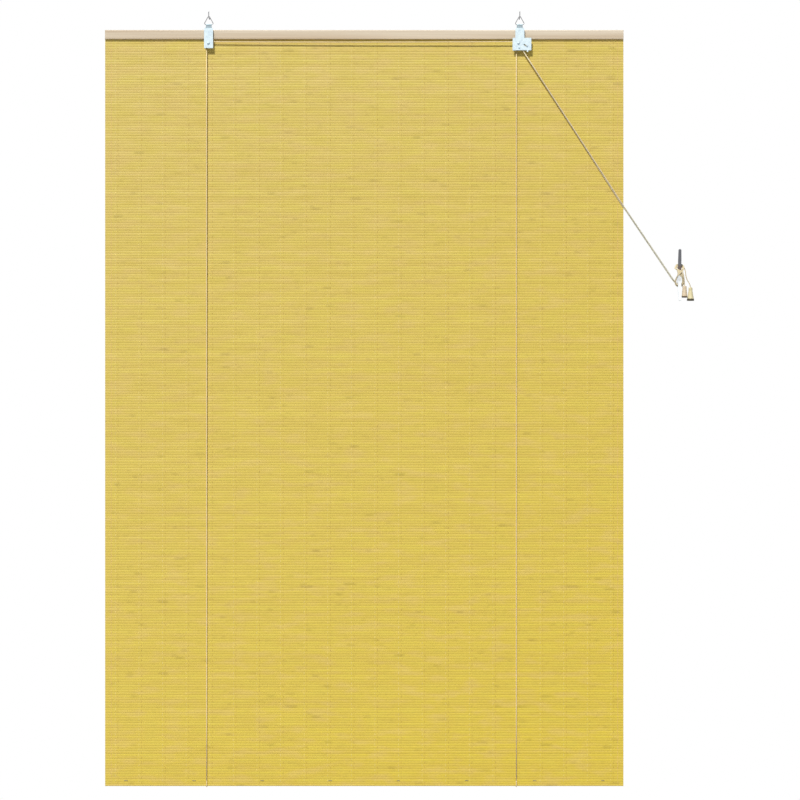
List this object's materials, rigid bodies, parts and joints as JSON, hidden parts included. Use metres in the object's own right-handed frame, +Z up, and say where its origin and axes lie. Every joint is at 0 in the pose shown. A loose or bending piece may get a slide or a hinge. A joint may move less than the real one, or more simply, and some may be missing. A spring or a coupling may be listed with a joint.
{
  "type": "bamboo roll-up blind",
  "caption": "Roll-up window blind of woven bamboo slats on a wooden headrail, drawn up by cords through pulleys and a roller cord lock and tied off on a wall cleat.",
  "frame": {"origin": "on the wall face, midway between the two screw hooks, at the height of their arms", "axes": "+X to the right along the headrail, +Y into the wall, +Z up"},
  "size_m": [1.7055, 0.0611, 2.2455],
  "materials": {
    "steel_wire": "bright drawn wire",
    "zinc_plate": "bright zinc plate",
    "rivet_steel": "bright",
    "pulley_plastic": "moulded, satin",
    "roller_metal": "fluted, satin",
    "pale_wood": "sanded, thin clear coat",
    "bamboo": "split bamboo, natural sheen",
    "cleat_metal": "polished casting",
    "turned_wood": "turned, satin",
    "cord": "braided, matt"
  },
  "bodies": {
    "wall_fixings": {"screw_hook_left": "steel_wire", "screw_hook_right": "steel_wire", "hanging_loop_left": "steel_wire", "hanging_loop_right": "steel_wire", "wall_cleat": "cleat_metal", "cleat_screws": "steel_wire", "cleat_winding": "cord", "tail_cord_a": "cord", "tail_cord_b": "cord", "tassel_a": "turned_wood", "tassel_b": "turned_wood", "tassel_knots": "cord"},
    "blind": {"headrail": "pale_wood", "bracket_left": "zinc_plate", "bracket_lock": "zinc_plate", "bracket_screws": "steel_wire", "pulley_rivet_left": "rivet_steel", "lock_pulley_rivet": "rivet_steel", "lock_guide_pin": "rivet_steel", "bamboo_mat": "bamboo", "mat_staples": "steel_wire", "cord_staples": "steel_wire", "lift_cord_left_front": "cord", "lift_cord_right_front": "cord", "lift_cord_left_back": "cord", "lift_cord_right_back": "cord", "headrail_cord": "cord", "lock_cord": "cord", "pull_cord_a": "cord", "pull_cord_b": "cord"},
    "left_pulley": {"pulley_left": "pulley_plastic"},
    "front_lock_pulley": {"lock_pulley_front": "pulley_plastic"},
    "back_lock_pulley": {"lock_pulley_back": "pulley_plastic"},
    "roller_pin": {"lock_roller_pin": "rivet_steel"},
    "roller": {"lock_roller": "roller_metal"},
    "bottom_rail": {"bottom_batten": "pale_wood", "batten_staples": "steel_wire", "lift_cord_left_turn": "cord", "lift_cord_right_turn": "cord"}
  },
  "joints": [
    {"name": "blind_swing", "type": "hinge", "parent": "wall_fixings", "child": "blind", "pos_m": [0, -0.0215, -0.0202], "axis": [-1, 0, 0], "range_deg": [0, 60], "deforming": ["pull_cord_a", "pull_cord_b"]},
    {"name": "mat_lift", "type": "slide", "parent": "blind", "child": "bottom_rail", "axis": [0, 0, 1], "range_m": [0, 2], "deforming": ["bamboo_mat", "lift_cord_left_front", "lift_cord_right_front", "lift_cord_left_back", "lift_cord_right_back"]},
    {"name": "left_pulley_spin", "type": "hinge", "parent": "blind", "child": "left_pulley", "pos_m": [-0.45, -0.0293, -0.0775], "axis": [0, 1, 0], "continuous": true},
    {"name": "front_lock_pulley_spin", "type": "hinge", "parent": "blind", "child": "front_lock_pulley", "pos_m": [0.446, -0.03195, -0.0775], "axis": [0, 1, 0], "continuous": true},
    {"name": "back_lock_pulley_spin", "type": "hinge", "parent": "blind", "child": "back_lock_pulley", "pos_m": [0.446, -0.02665, -0.0775], "axis": [0, 1, 0], "continuous": true},
    {"name": "lock_roller_slide", "type": "slide", "parent": "blind", "child": "roller_pin", "axis": [-0.8434, 0, 0.5373], "range_m": [0, 0.0104]},
    {"name": "lock_roller_spin", "type": "hinge", "parent": "roller_pin", "child": "roller", "pos_m": [0.47107, -0.0293, -0.08579], "axis": [0, 1, 0], "continuous": true}
  ],
  "couplings": [
    {"joint": "left_pulley_spin", "follows": "mat_lift", "rad_per_m": 333.33},
    {"joint": "front_lock_pulley_spin", "follows": "mat_lift", "rad_per_m": 333.33},
    {"joint": "back_lock_pulley_spin", "follows": "mat_lift", "rad_per_m": 333.33}
  ]
}
